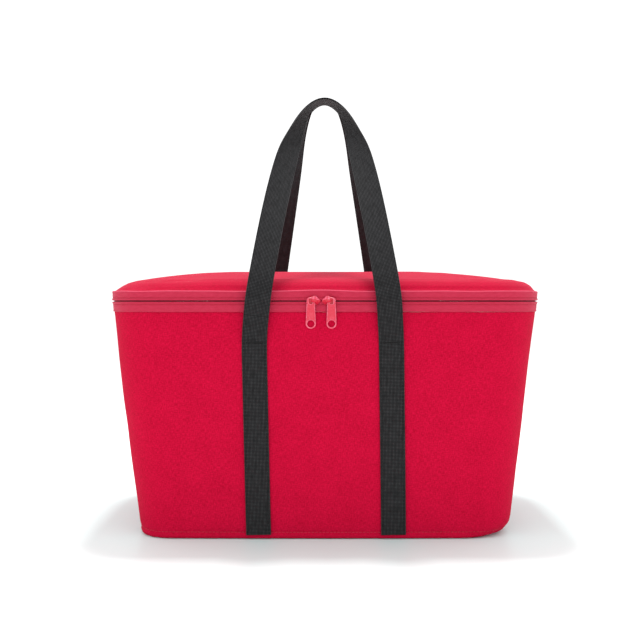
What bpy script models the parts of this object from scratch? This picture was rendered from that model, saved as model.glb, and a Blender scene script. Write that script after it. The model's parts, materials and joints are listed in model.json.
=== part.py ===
"""Insulated cooler bag: a padded tapered tub, a domed lid on a fabric hinge, a zip with two
sliders round three sides, and two webbing handles sewn to the front and the back.

Metres, +Z up. The front faces -Y. The origin is at the middle of the base, on the floor.
"""

import math

import bmesh
import bpy
from mathutils import Matrix, Vector

# Tub: half width, half depth and corner radius at the base and at the zip line.
BASE = (0.1914, 0.1115, 0.034)
TOP = (0.2222, 0.1250, 0.060)
ZIP_Z = 0.240
GAP = 0.0003

# Layers of the wall, from the outside in.
FABRIC = 0.0008
FOAM = (FABRIC + GAP, FABRIC + GAP + 0.005)
LINER = (FOAM[1] + GAP, FOAM[1] + GAP + 0.0005)
FOAM_TOP = 0.2330
FOAM_FOOT = 0.0112
PANEL_TOP = 0.2289
FOOT = ((0.0085, 0.0004), (0.0045, 0.0016), (0.0015, 0.0048), (0.0, 0.0105))
BASE_INSET = 0.0092
BASE_FABRIC_TOP = 0.0012
BASE_FOAM = (0.0015, 0.0065)
BOARD = (0.0068, 0.0088)
LINER_FLOOR = 0.0091
BINDING_TOP = 0.2347

# Where the front and back pieces end on each side, as shares of the half depth.
PANEL_END = 0.07
SEAM_END = 0.06
FOAM_END = 0.005

# Zip: tape, coil and the slit between the two halves, as heights above the zip line.
TAPE = (0.0007, 0.0090)
LOWER_TAPE = 0.0108
TAPE_PROUD = 0.0005
COIL = (0.0007, 0.0033)
COIL_INSET = (0.0006, 0.0025)
ZIP_END_X = 0.150
HINGE_X = ZIP_END_X - 0.0006

# Lid: its outer surface as (inset from the outline, height above the zip line).
LID_PROFILE = (
    (0.0000, 0.0093),
    (0.0025, 0.0106),
    (0.0060, 0.0132),
    (0.0100, 0.0162),
    (0.0155, 0.0190),
    (0.0240, 0.0214),
    (0.0400, 0.0240),
    (0.0620, 0.0274),
    (0.0900, 0.0312),
    (0.1180, 0.0332),
)
LID_FOAM_FOOT = 0.0070
LID_TURN = 0.0155

# Sliders and pulls. The sliders meet a little left of the middle.
MEET_X = -0.0040
SLIDER_HALF = Vector((0.0078, 0.0, 0.0050))
SLIDER_FRONT_Y = (-0.1271, -0.1258)
SLIDER_BACK_Y = (-0.1222, -0.1208)
POST_HALF = (0.0022, 0.0004)
CROWN_LEG_X = (-0.0036, 0.0022)
CROWN_Y = -0.1315
CROWN_BAR = 0.0011
PULL_PIVOT_Y = -0.1292
PULL_TILT = math.radians(10.0)
PULL_THICK = 0.0011
PULL_DROP = 0.0262
PULL_HALF_WIDTH = (0.0038, 0.0049)
PULL_EYE_RADIUS = 0.0019
PULL_HOLE_RADIUS = 0.0035

# Straps: 25 mm webbing, sewn to the panel, then leaning out, then arching over as a handle.
STRAP_HALF = 0.0125
STRAP_THICK = 0.0018
STRAP_FOOT_Z = 0.0060
SEWN_TOP_Z = 0.2030
SWAY_Z = 0.2043
BEND_Z = (0.2062, 0.2445)
BEND_LEAN = math.radians(16.0)
FOLD_Z = 0.2460
FOLD_STAND_OFF = 0.0025
HANDLE_FOOT_Z = 0.2475
HANDLE_RISE = 0.132
HANDLE_SLOPES = (0.157, 0.290)
HANDLE_SHOULDER_X = 0.0300
HANDLE_APEX_Y = 0.0135
FRONT_APEX_Z = 0.4632
BACK_APEX_Z = 0.4682

# Each leg's distance from the middle: at its foot, where its sewing ends, and at the handle.
LEG_X = {
    "front_left": (0.0668, 0.0704, 0.0652),
    "front_right": (0.0688, 0.0656, 0.0620),
    "back_left": (0.0670, 0.0690, 0.0640),
    "back_right": (0.0700, 0.0730, 0.0690),
}

HANDLE_STEPS = 26
BAR_HALF = (0.0085, 0.0009)
BAR_THICK = 0.0005

CORNER_STEPS = 6


# Stations run anticlockwise seen from above: (share of the half width, share of the half
# depth, direction of the outward normal in degrees).
def corner(side_x, side_y, first_angle):
    step = 90 / CORNER_STEPS
    return [(side_x, side_y, first_angle + step * i) for i in range(CORNER_STEPS + 1)]


BACK_LEFT = corner(-1, 1, 90)
FRONT_LEFT = corner(-1, -1, 180)
FRONT_RIGHT = corner(1, -1, 270)
BACK_RIGHT = corner(1, 1, 0)
WHOLE = BACK_LEFT + FRONT_LEFT + FRONT_RIGHT + BACK_RIGHT


def front_half(share):
    """The front run, ending this share of the half depth short of the middle of each side."""
    return [(-1, -share, 180)] + FRONT_LEFT + FRONT_RIGHT + [(1, -share, 0)]


def back_half(share):
    return [(1, share, 0)] + BACK_RIGHT + BACK_LEFT + [(-1, share, 180)]


def mix(a, b, t):
    return a + (b - a) * t


def section_at(z):
    """Half width, half depth and corner radius of the tub at a height."""
    t = min(z / ZIP_Z, 1.0)
    return tuple(mix(low, high, t) for low, high in zip(BASE, TOP))


def point_at(station, inset, z):
    half_x, half_y, radius = section_at(z)
    half_x, half_y = half_x - inset, half_y - inset
    radius = max(radius - inset, 0.25 * half_y)
    share_x, share_y, degrees = station
    angle = math.radians(degrees)
    x = share_x * (half_x - radius)
    y = share_y * (half_y - radius)
    return Vector((x + radius * math.cos(angle), y + radius * math.sin(angle), z))


def back_station(x):
    """A station on the straight back run at this x."""
    half_x, _, radius = section_at(ZIP_Z)
    return (x / (half_x - radius), 1, 90)


ZIP_RUN = [back_station(-ZIP_END_X)] + WHOLE + [back_station(ZIP_END_X)]
HINGE_RUN = [back_station(HINGE_X), back_station(-HINGE_X)]


def finish(name, bm, material, origin=None):
    """Makes one object of a bmesh, facing out, with its origin at a given place."""
    bmesh.ops.recalc_face_normals(bm, faces=bm.faces)
    if origin is not None:
        bmesh.ops.translate(bm, vec=-Vector(origin), verts=bm.verts)
    mesh = bpy.data.meshes.new(name)
    bm.to_mesh(mesh)
    bm.free()
    mesh.materials.append(material)
    mesh.shade_smooth()
    mesh.set_sharp_from_angle(angle=math.radians(35))
    obj = bpy.data.objects.new(name, mesh)
    if origin is not None:
        obj.location = origin
    bpy.context.scene.collection.objects.link(obj)
    return obj


def loft(rows, closed_rows, closed_row):
    """A skin over equal rows of points. Open ends of the rows are capped."""
    bm = bmesh.new()
    grid = [[bm.verts.new(point) for point in row] for row in rows]
    count = len(grid[0])
    pairs = list(zip(grid, grid[1:])) + ([(grid[-1], grid[0])] if closed_rows else [])
    for one, two in pairs:
        for i in range(count if closed_row else count - 1):
            j = (i + 1) % count
            bm.faces.new((one[i], one[j], two[j], two[i]))
    if closed_row and not closed_rows:
        bm.faces.new(grid[0])
        bm.faces.new(grid[-1])
    return bm


def wall(name, profile, run, material):
    """Sweeps a closed profile of (inset, z) round a run of stations."""
    rows = [[point_at(station, inset, z) for inset, z in profile] for station in run]
    return finish(name, loft(rows, run is WHOLE, True), material)


def slab(name, inset, low, high, material):
    """A flat plate that fills the outline at one height."""
    rows = [[point_at(station, inset, z) for station in WHOLE] for z in (low, high)]
    return finish(name, loft(rows, False, True), material)


def offset(profile, distance):
    """Moves a profile of (inset, z) inwards and downwards by a distance."""
    moved = []
    for i, (inset, z) in enumerate(profile):
        before = profile[max(i - 1, 0)]
        after = profile[min(i + 1, len(profile) - 1)]
        run, rise = after[0] - before[0], after[1] - before[1]
        length = math.hypot(run, rise)
        moved.append((inset + distance * rise / length, z - distance * run / length))
    return moved


def lid_layer(distance, foot=None):
    """The lid's surface at a depth: measured inwards at the rim, and straight down further in."""
    made = [] if foot is None else [(distance, ZIP_Z + foot)]
    for inset, rise in LID_PROFILE:
        turn = math.pi / 2 * min(inset / LID_TURN, 1.0)
        made.append((inset + distance * math.cos(turn), ZIP_Z + rise - distance * math.sin(turn)))
    return made


def shell(name, outer, inner, material):
    """A closed skin between two profiles that both run from a rim to a flat middle."""
    profile = list(reversed(outer)) + list(inner)
    rows = [[point_at(station, inset, z) for station in WHOLE] for inset, z in profile]
    return finish(name, loft(rows, False, True), material)


def box(name, low, high, material, origin=None):
    bm = bmesh.new()
    bmesh.ops.create_cube(bm, size=1.0)
    low, high = Vector(low), Vector(high)
    for vert in bm.verts:
        vert.co = Vector(mix(a, b, c + 0.5) for a, b, c in zip(low, high, vert.co))
    return finish(name, bm, material, origin)


def material(name, colour, roughness, metallic=0.0):
    made = bpy.data.materials.new(name)
    made.use_nodes = True
    shader = made.node_tree.nodes["Principled BSDF"]
    shader.inputs["Base Color"].default_value = (*colour, 1.0)
    shader.inputs["Roughness"].default_value = roughness
    shader.inputs["Metallic"].default_value = metallic
    return made


def build_tub(red, foam, foil, board):
    """The outer fabric, the insulation, the stiffening board and the liner."""
    outer = list(FOOT) + [(0.0, PANEL_TOP)]
    skin = outer + list(reversed(offset(outer, FABRIC)))
    wall("front_panel", skin, front_half(PANEL_END), red)
    wall("back_panel", skin, back_half(PANEL_END), red)
    wall("side_seam_left", skin, [(-1, SEAM_END, 180), (-1, -SEAM_END, 180)], red)
    wall("side_seam_right", skin, [(1, -SEAM_END, 0), (1, SEAM_END, 0)], red)
    slab("base_panel", BASE_INSET, 0.0, BASE_FABRIC_TOP, red)

    def sheet(layer, low, high):
        return [(layer[0], low), (layer[0], high), (layer[1], high), (layer[1], low)]

    wall("foam_front", sheet(FOAM, FOAM_FOOT, FOAM_TOP), front_half(FOAM_END), foam)
    wall("foam_back", sheet(FOAM, FOAM_FOOT, FOAM_TOP), back_half(FOAM_END), foam)
    slab("foam_base", BASE_INSET + 0.0008, *BASE_FOAM, foam)
    slab("base_board", BASE_INSET + 0.0013, *BOARD, board)
    upper_floor = LINER_FLOOR + LINER[1] - LINER[0]
    tub = [(0.05, LINER_FLOOR), (LINER[0], LINER_FLOOR), (LINER[0], FOAM_TOP)]
    inside = [(LINER[1], FOAM_TOP), (LINER[1], upper_floor), (0.05, upper_floor)]
    rows = [[point_at(s, inset, z) for s in WHOLE] for inset, z in tub + inside]
    finish("liner", loft(rows, False, True), foil)
    wall("mouth_binding", sheet((FOAM[0], LINER[1]), FOAM_TOP + GAP, BINDING_TOP), WHOLE, foil)


def build_zip(tape_red, coil_dark):
    """Both halves of the zip, and the fabric hinge that closes the gap at the back."""
    outside = (-TAPE_PROUD, -TAPE_PROUD + FABRIC)

    def strip(inset, low, high):
        return [(inset[0], low), (inset[0], high), (inset[1], high), (inset[1], low)]

    lower = strip(outside, ZIP_Z - LOWER_TAPE, ZIP_Z - TAPE[0])
    upper = strip(outside, ZIP_Z + TAPE[0], ZIP_Z + TAPE[1])
    wall("zip_tape_lower", lower, ZIP_RUN, tape_red)
    wall("zip_tape_upper", upper, ZIP_RUN, tape_red)
    wall("hinge_strip_lower", strip(outside, ZIP_Z - LOWER_TAPE, ZIP_Z - GAP), HINGE_RUN, tape_red)
    wall("hinge_strip_upper", strip(outside, ZIP_Z + GAP, ZIP_Z + TAPE[1]), HINGE_RUN, tape_red)
    wall("zip_coil_lower", strip(COIL_INSET, ZIP_Z - COIL[1], ZIP_Z - COIL[0]), ZIP_RUN, coil_dark)
    wall("zip_coil_upper", strip(COIL_INSET, ZIP_Z + COIL[0], ZIP_Z + COIL[1]), ZIP_RUN, coil_dark)
    ends = strip((-TAPE_PROUD - GAP - FABRIC, -TAPE_PROUD - GAP), ZIP_Z - 0.0100, ZIP_Z - 0.0010)
    for side, name in ((-1, "zip_end_left"), (1, "zip_end_right")):
        near, far = ZIP_END_X - 0.006, ZIP_END_X + 0.006
        run = [back_station(side * near), back_station(side * far)]
        wall(name, ends, run if side < 0 else list(reversed(run)), tape_red)


def build_lid(red, foam, foil):
    """The domed lid: outer fabric, insulation, liner and the binding round its rim."""
    foot = LID_FOAM_FOOT
    shell("lid_panel", lid_layer(0.0), lid_layer(FABRIC), red)
    shell("lid_foam", lid_layer(FOAM[0], foot), lid_layer(FOAM[1], foot), foam)
    shell("lid_liner", lid_layer(LINER[0], foot), lid_layer(LINER[1], foot), foil)
    low, high = ZIP_Z + 0.0052, ZIP_Z + LID_FOAM_FOOT - GAP
    rim = [(FOAM[0], low), (FOAM[0], high), (LINER[1], high), (LINER[1], low)]
    wall("lid_binding", rim, WHOLE, foil)


def unite(target, others):
    for other in others:
        modifier = target.modifiers.new("union", "BOOLEAN")
        modifier.operation = "UNION"
        modifier.solver = "EXACT"
        modifier.object = other
        other.hide_render = True
        other.display_type = "WIRE"


def build_slider(side, name, metal):
    """One slider. side is -1 on the left and 1 on the right; its pull hangs on the outer leg."""
    middle = Vector((MEET_X + side * (SLIDER_HALF.x + 0.0002), 0, ZIP_Z))

    def block(part, x, y, z_half, bevel=0.0):
        low = Vector((middle.x + x[0], y[0], ZIP_Z - z_half))
        high = Vector((middle.x + x[1], y[1], ZIP_Z + z_half))
        made = box(part, low, high, metal)
        if bevel:
            rounding = made.modifiers.new("rounding", "BEVEL")
            rounding.width = bevel
            rounding.segments = 2
            rounding.limit_method = "NONE"
        return made

    half = SLIDER_HALF.x
    front = block(name, (-half, half), SLIDER_FRONT_Y, SLIDER_HALF.z, 0.0004)
    back = block(name + "_back", (-half + 0.001, half - 0.001), SLIDER_BACK_Y, 0.0042)
    post_x = (-POST_HALF[0], POST_HALF[0])
    post_y = (SLIDER_FRONT_Y[0] + 0.0006, SLIDER_BACK_Y[0] + 0.0006)
    post = block(name + "_post", post_x, post_y, POST_HALF[1])
    unite(front, (post, back))

    legs = [side * x for x in CROWN_LEG_X]
    reach = (min(legs), max(legs))
    crown_name = name.replace("slider", "crown")
    bar_y = (CROWN_Y, CROWN_Y + CROWN_BAR)
    bar = block(crown_name, (reach[0] - 0.0006, reach[1] + 0.0006), bar_y, 0.0007)
    feet_y = (CROWN_Y + 0.0004, SLIDER_FRONT_Y[0] - GAP)
    feet = []
    for i, x in enumerate(legs):
        feet.append(block(f"{crown_name}_leg_{i}", (x - 0.0006, x + 0.0006), feet_y, 0.0007))
    unite(bar, feet)
    return middle.x + legs[1]


def build_pull(name, x, metal):
    """A flat tab with an eye round the crown's outer leg and a round hole at its foot."""
    outline = []
    steps = 8
    top, foot = PULL_HALF_WIDTH
    for i in range(steps + 1):
        angle = math.pi * i / steps
        outline.append((top * math.cos(angle), top * math.sin(angle) * 0.95))
    drop = PULL_DROP - foot
    for i in range(steps + 1):
        angle = math.pi + math.pi * i / steps
        outline.append((foot * math.cos(angle), -drop + foot * math.sin(angle)))
    rows = [[Vector((u, y, v)) for u, v in outline] for y in (-PULL_THICK / 2, PULL_THICK / 2)]
    place = Vector((x, PULL_PIVOT_Y, ZIP_Z))
    tab = finish(name, loft(rows, False, True), metal)
    tab.location = place
    tab.rotation_euler = (PULL_TILT, 0, 0)
    for i, (radius, down) in enumerate(((PULL_EYE_RADIUS, 0.0), (PULL_HOLE_RADIUS, drop))):
        bm = bmesh.new()
        turned = Matrix.Translation((0, 0, -down)) @ Matrix.Rotation(math.pi / 2, 4, "X")
        bmesh.ops.create_cone(
            bm, cap_ends=True, segments=16, radius1=radius, radius2=radius, depth=0.006, matrix=turned
        )
        cutter = finish(f"{name}_cut_{i}", bm, metal)
        cutter.parent = tab
        cutter.hide_render = True
        cutter.display_type = "WIRE"
        cut = tab.modifiers.new("hole", "BOOLEAN")
        cut.operation = "DIFFERENCE"
        cut.object = cutter


def panel_y(z):
    """The outer face of the tub's flat front, as a positive distance from the middle."""
    return section_at(z)[1]


def sewn_y(z):
    """The inner face of a sewn strap."""
    return panel_y(z) + GAP


def lean_y(z):
    """The inner face of the bend, which leans away from the panel above the stitching."""
    return sewn_y(BEND_Z[0]) + (z - BEND_Z[0]) * math.tan(BEND_LEAN)


def ribbon(name, stations, webbing, origin=None):
    """Webbing through stations of (middle of the thickness, tangent, width direction). Round
    the apex, where the width lies across the bag, it stays level instead of square."""
    rows = []
    for middle, tangent, across in stations:
        tangent = tangent.normalized()
        square = 0.0 if abs(across.y) > 0.8 else 1.0
        across = (across - across.dot(tangent) * tangent * square).normalized()
        face = across.cross(tangent).normalized()
        half, thick = across * STRAP_HALF, face * STRAP_THICK / 2
        far, near = middle - thick, middle + thick
        rows.append([far - half, far + half, near + half, near - half])
    return finish(name, loft(rows, False, True), webbing, origin)


def straight(name, side_x, side_y, low, high, y_at, webbing, origin=None):
    ends = []
    for x, z in (low, high):
        ends.append(Vector((side_x * x, side_y * (y_at(z) + STRAP_THICK / 2), z)))
    tangent = ends[1] - ends[0]
    return ribbon(name, [(end, tangent, Vector((1, 0, 0))) for end in ends], webbing, origin)


def handle_half(foot_x, side_y, apex_z):
    """Stations from a foot at +X to the apex, the last one in the middle plane."""
    foot = Vector((foot_x, side_y * (lean_y(HANDLE_FOOT_Z) + STRAP_THICK / 2), HANDLE_FOOT_Z))
    slope_x, slope_y = HANDLE_SLOPES
    rise = Vector((-slope_x, -side_y * slope_y, 1)) * HANDLE_RISE
    apex = Vector((0, side_y * HANDLE_APEX_Y, apex_z))
    shoulder = apex + Vector((HANDLE_SHOULDER_X, 0, 0))
    points = (foot, foot + rise, shoulder, apex)
    made = []
    for i in range(HANDLE_STEPS // 2 + 1):
        t = i / (HANDLE_STEPS // 2)
        weights = ((1 - t) ** 3, 3 * (1 - t) ** 2 * t, 3 * (1 - t) * t * t, t**3)
        slopes = (-3 * (1 - t) ** 2, 3 * (1 - t) * (1 - 3 * t), 3 * t * (2 - 3 * t), 3 * t * t)
        middle = sum((w * p for w, p in zip(weights, points)), Vector())
        tangent = sum((w * p for w, p in zip(slopes, points)), Vector())
        turn = math.pi / 2 * t * t * (3 - 2 * t)
        across = Vector((-math.cos(turn), -side_y * math.sin(turn), 0))
        made.append((middle, tangent, across))
    return made


def build_handle(face, side_y, apex_z, webbing):
    right = handle_half(LEG_X[f"{face}_right"][2], side_y, apex_z)
    left = []
    for middle, tangent, across in reversed(handle_half(LEG_X[f"{face}_left"][2], side_y, apex_z)[:-1]):
        flip = Vector((-1, 1, 1))
        left.append((middle * flip, -tangent * flip, across * flip))
    fold_y = side_y * (lean_y(FOLD_Z) + STRAP_THICK + FOLD_STAND_OFF)
    ribbon(f"handle_{face}", right + left, webbing, (0, fold_y, FOLD_Z))


def build_straps(webbing, thread):
    """The sewn straps, their stitch bars, the bends above them and the two handles."""
    for side_y, face, apex_z in ((-1, "front", FRONT_APEX_Z), (1, "back", BACK_APEX_Z)):
        for side_x, hand in ((-1, "left"), (1, "right")):
            build_leg(side_x, side_y, f"{face}_{hand}", webbing, thread)
        build_handle(face, side_y, apex_z, webbing)


def build_leg(side_x, side_y, tail, webbing, thread):
    """A sewn strap, the bar of stitches across its top, and the bend above it."""
    foot_x, top_x, handle_x = LEG_X[tail]
    low, high = (foot_x, STRAP_FOOT_Z), (top_x, SEWN_TOP_Z)
    straight(f"strap_{tail}", side_x, side_y, low, high, sewn_y, webbing)
    origin = (0, side_y * (lean_y(SWAY_Z) + STRAP_THICK), SWAY_Z)
    low, high = (top_x - 0.0004, BEND_Z[0]), (handle_x + 0.0004, BEND_Z[1])
    straight(f"strap_bend_{tail}", side_x, side_y, low, high, lean_y, webbing, origin)
    bar_z = SEWN_TOP_Z - 0.0025
    face_y = sewn_y(bar_z) + STRAP_THICK + GAP + 0.0002
    ys = sorted((side_y * face_y, side_y * (face_y + BAR_THICK)))
    x = side_x * top_x
    low = (x - BAR_HALF[0], ys[0], bar_z - BAR_HALF[1])
    high = (x + BAR_HALF[0], ys[1], bar_z + BAR_HALF[1])
    box(f"stitch_bar_{tail}", low, high, thread)


def main():
    for obj in list(bpy.data.objects):
        bpy.data.objects.remove(obj)
    red = material("outer_fabric", (0.60, 0.010, 0.036), 0.82)
    tape_red = material("zip_tape", (0.52, 0.018, 0.055), 0.85)
    coil_dark = material("zip_coil", (0.16, 0.010, 0.022), 0.45)
    slider_red = material("slider_enamel", (0.72, 0.060, 0.110), 0.35, 0.2)
    webbing = material("webbing", (0.016, 0.016, 0.018), 0.75)
    thread = material("thread", (0.012, 0.012, 0.013), 0.6)
    foam = material("foam", (0.85, 0.85, 0.83), 0.9)
    foil = material("liner_foil", (0.78, 0.79, 0.80), 0.3, 0.8)
    board = material("base_board", (0.05, 0.05, 0.055), 0.6)
    build_tub(red, foam, foil, board)
    build_zip(tape_red, coil_dark)
    build_lid(red, foam, foil)
    for side, name in ((-1, "slider_left"), (1, "slider_right")):
        pull_x = build_slider(side, name, slider_red)
        build_pull(name.replace("slider", "pull"), pull_x, slider_red)
    build_straps(webbing, thread)


main()
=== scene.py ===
import json
import math

import bmesh
import bpy
from mathutils import Matrix, Vector, noise
from mathutils.bvhtree import BVHTree

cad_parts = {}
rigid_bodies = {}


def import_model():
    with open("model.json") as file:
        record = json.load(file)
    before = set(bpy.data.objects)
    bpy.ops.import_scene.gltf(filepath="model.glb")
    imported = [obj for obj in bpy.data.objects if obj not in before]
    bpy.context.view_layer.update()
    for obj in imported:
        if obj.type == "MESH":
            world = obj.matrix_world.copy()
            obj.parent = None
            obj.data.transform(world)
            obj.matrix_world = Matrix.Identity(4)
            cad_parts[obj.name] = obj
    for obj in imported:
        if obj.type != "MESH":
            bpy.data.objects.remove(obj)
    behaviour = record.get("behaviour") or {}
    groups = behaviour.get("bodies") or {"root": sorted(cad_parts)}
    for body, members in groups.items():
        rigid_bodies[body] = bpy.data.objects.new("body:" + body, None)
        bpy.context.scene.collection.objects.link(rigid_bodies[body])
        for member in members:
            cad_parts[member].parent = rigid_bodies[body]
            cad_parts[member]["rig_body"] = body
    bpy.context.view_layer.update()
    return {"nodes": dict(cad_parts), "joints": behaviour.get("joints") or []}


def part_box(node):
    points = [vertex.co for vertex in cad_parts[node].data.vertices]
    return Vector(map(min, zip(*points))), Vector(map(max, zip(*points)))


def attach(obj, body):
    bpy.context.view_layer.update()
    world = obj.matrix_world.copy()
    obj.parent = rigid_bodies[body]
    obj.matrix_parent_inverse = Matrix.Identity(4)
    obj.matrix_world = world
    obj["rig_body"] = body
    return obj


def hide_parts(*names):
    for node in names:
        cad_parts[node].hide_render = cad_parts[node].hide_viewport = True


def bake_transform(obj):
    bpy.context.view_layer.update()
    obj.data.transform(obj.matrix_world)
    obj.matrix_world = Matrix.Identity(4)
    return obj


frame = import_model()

JOINTS = {joint["name"]: joint for joint in frame["joints"]}

# The tub's shape, from the frame: half widths at the base and at the zip line.
ZIP_Z = JOINTS["lid_hinge"]["pos_m"][2]
TOP_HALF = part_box("lid_panel")[1]
BASE_INSET = 0.0092
BASE_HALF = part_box("base_panel")[1]
BASE = (BASE_HALF.x + BASE_INSET, BASE_HALF.y + BASE_INSET, 0.034)
TOP = (TOP_HALF.x, TOP_HALF.y, 0.060)
ZIP_END_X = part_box("hinge_strip_lower")[1].x + 0.0006
PANEL_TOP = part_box("front_panel")[1].z

# Straps and handles, as part.py lays them out.
STRAP_HALF = 0.0125
STRAP_THICK = 0.0017
STRAP_FOOT_Z = 0.0050
SEWN_TOP_Z = 0.2030
BEND_Z = (0.2062, 0.2445)
BEND_LEAN = math.radians(16.0)
HANDLE_FOOT_Z = 0.2475
HANDLE_RISE = 0.132
HANDLE_SLOPES = (0.157, 0.290)
HANDLE_SHOULDER_X = 0.0300
HANDLE_APEX_Y = 0.0135
HANDLE_TURN = math.radians(90)
APEX_Z = {-1: 0.4632, 1: 0.4682}

# Each leg's distance from the middle: at its foot, where its sewing ends, and at the handle.
LEG_X = {
    "front_left": (0.0668, 0.0704, 0.0652),
    "front_right": (0.0688, 0.0656, 0.0620),
    "back_left": (0.0670, 0.0690, 0.0640),
    "back_right": (0.0700, 0.0730, 0.0690),
}

SIDES = ((-1, "left"), (1, "right"))
FACES = ((-1, "front"), (1, "back"))
UP = Vector((0, 0, 1))


# ---- materials

SHORT_NAMES = {"colour": "Base Color", "specular": "Specular IOR Level", "sheen": "Sheen Weight",
               "coat": "Coat Weight"}


class Nodes:
    """Short calls for one material's node tree."""

    def __init__(self, name):
        self.material = bpy.data.materials.new(name)
        self.material.use_nodes = True
        self.tree = self.material.node_tree
        self.shader = self.tree.nodes["Principled BSDF"]

    def add(self, kind, inputs=(), **settings):
        node = self.tree.nodes.new(kind)
        for key, value in settings.items():
            setattr(node, key, value)
        for key, value in dict(inputs).items():
            self.put(node.inputs[key], value)
        return node

    def put(self, socket, value):
        if isinstance(value, bpy.types.NodeSocket):
            self.tree.links.new(value, socket)
        else:
            socket.default_value = value

    def math(self, operation, a, b=0.0, c=0.0):
        node = self.add("ShaderNodeMath", operation=operation)
        for socket, value in zip(node.inputs, (a, b, c)):
            self.put(socket, value)
        return node.outputs[0]

    def mix(self, factor, a, b):
        node = self.add("ShaderNodeMix", data_type="RGBA")
        self.put(node.inputs[0], factor)
        self.put(node.inputs[6], a)
        self.put(node.inputs[7], b)
        return node.outputs[2]

    def metres(self):
        """The piece's own cloth coordinates, in metres along and across the weave."""
        return self.add("ShaderNodeUVMap", uv_map="metres").outputs[0]

    def local(self):
        return self.add("ShaderNodeTexCoord").outputs["Object"]

    def noise(self, coordinates, scale, detail=2.0, roughness=0.5, stretch=None):
        if stretch is not None:
            mapping = self.add("ShaderNodeMapping", {"Vector": coordinates, "Scale": stretch})
            coordinates = mapping.outputs[0]
        inputs = {"Vector": coordinates, "Scale": scale, "Detail": detail, "Roughness": roughness}
        return self.add("ShaderNodeTexNoise", inputs).outputs["Fac"]

    def ramp(self, factor, low, high):
        """Maps a factor from the range low to high onto 0 to 1."""
        return self.add("ShaderNodeMapRange", {0: factor, 1: low, 2: high}).outputs[0]

    def weave(self, pitch_u, pitch_v):
        """A plain weave: threads over and under in turn, from 0 to 1."""
        parts = self.add("ShaderNodeSeparateXYZ", {0: self.metres()})
        u = self.math("MULTIPLY", parts.outputs[0], math.pi / pitch_u)
        v = self.math("MULTIPLY", parts.outputs[1], math.pi / pitch_v)
        product = self.math("MULTIPLY", self.math("SINE", u), self.math("SINE", v))
        return self.math("MULTIPLY_ADD", product, 0.5, 0.5)

    def bump(self, height, strength, distance):
        inputs = {"Height": height, "Strength": strength, "Distance": distance}
        if self.shader.inputs["Normal"].is_linked:
            inputs["Normal"] = self.shader.inputs["Normal"].links[0].from_socket
        node = self.add("ShaderNodeBump", inputs)
        self.put(self.shader.inputs["Normal"], node.outputs[0])

    def set(self, **values):
        """Sets the shader's inputs: sheen_tint is its Sheen Tint."""
        for key, value in values.items():
            name = SHORT_NAMES.get(key, key.replace("_", " ").title())
            self.put(self.shader.inputs[name], value)


def rgb(red, green, blue, scale=1.0):
    """A linear colour from screen values of 0 to 255."""
    def linear(value):
        value = value / 255
        return value / 12.92 if value <= 0.04045 else ((value + 0.055) / 1.055) ** 2.4
    return (scale * linear(red), scale * linear(green), scale * linear(blue), 1.0)


def melange_material(name, dark, light, sheen):
    """Woven polyester: flecked yarns of two reds both ways, over a fine plain weave."""
    made = Nodes(name)
    metres = made.metres()
    warp = made.ramp(made.noise(metres, 760, 2.0, 0.6, (1.5, 0.35, 1.0)), 0.34, 0.66)
    weft = made.ramp(made.noise(metres, 760, 2.0, 0.6, (0.35, 1.5, 1.0)), 0.34, 0.66)
    clouds = made.ramp(made.noise(metres, 45, 3.0, 0.6), 0.3, 0.7)
    flecks = made.math("MULTIPLY", made.math("ADD", warp, weft), 0.5)
    blend = made.math("ADD", made.math("MULTIPLY", flecks, 0.85), made.math("MULTIPLY", clouds, 0.15))
    made.set(colour=made.mix(blend, dark, light), specular=0.05)
    made.set(sheen=sheen, sheen_roughness=0.5, sheen_tint=(1.0, 0.55, 0.66, 1.0))
    made.set(roughness=made.math("MULTIPLY_ADD", flecks, 0.12, 0.76))
    made.bump(made.weave(0.00055, 0.00055), 0.5, 0.00012)
    made.bump(flecks, 0.35, 0.00015)
    return made.material


def webbing_material(name, dark, light):
    """Black webbing: a square grid of raised yarn crossings, painted lighter on their tops as a highlight
    where a random noise marks wear.
    """
    made = Nodes(name)
    metres = made.metres()
    parts = made.add("ShaderNodeSeparateXYZ", {0: metres})
    waves = []
    for axis in (0, 1):
        wave = made.math("SINE", made.math("MULTIPLY", parts.outputs[axis], math.pi / 0.0014))
        waves.append(made.math("POWER", made.math("ABSOLUTE", wave), 0.7))
    weave = made.math("MULTIPLY", *waves)
    worn = made.noise(metres, 300, 3.0, 0.6, (1.0, 0.4, 1.0))
    # Painted highlight: the raised crossings are lighter, scaled by the random wear noise.
    crossing_highlight_and_wear = made.math("MULTIPLY", made.ramp(weave, 0.4, 0.95), made.ramp(worn, 0.05, 0.6))
    made.set(colour=made.mix(crossing_highlight_and_wear, dark, light), specular=0.12, roughness=0.6)
    made.set(sheen=0.05, sheen_roughness=0.3)
    made.bump(weave, 0.9, 0.0003)
    return made.material


def tape_material(name, dark, light):
    """Zip tape: fine ribs along the tape, with a duller, dustier red."""
    made = Nodes(name)
    metres = made.metres()
    parts = made.add("ShaderNodeSeparateXYZ", {0: metres})
    ribs = made.math("SINE", made.math("MULTIPLY", parts.outputs[1], 2 * math.pi / 0.0011))
    dashes = made.weave(0.0008, 0.00055)
    dust = made.noise(metres, 500, 3.0, 0.6, (0.3, 1.0, 1.0))
    blend = made.math("ADD", made.math("MULTIPLY", dashes, 0.45), made.math("MULTIPLY", dust, 0.55))
    made.set(colour=made.mix(blend, dark, light), roughness=0.6, specular=0.12)
    made.set(sheen=0.06, sheen_roughness=0.4, sheen_tint=(1.0, 0.6, 0.7, 1.0))
    made.bump(made.math("ADD", dashes, made.math("MULTIPLY", ribs, 0.4)), 0.7, 0.00014)
    return made.material


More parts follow.
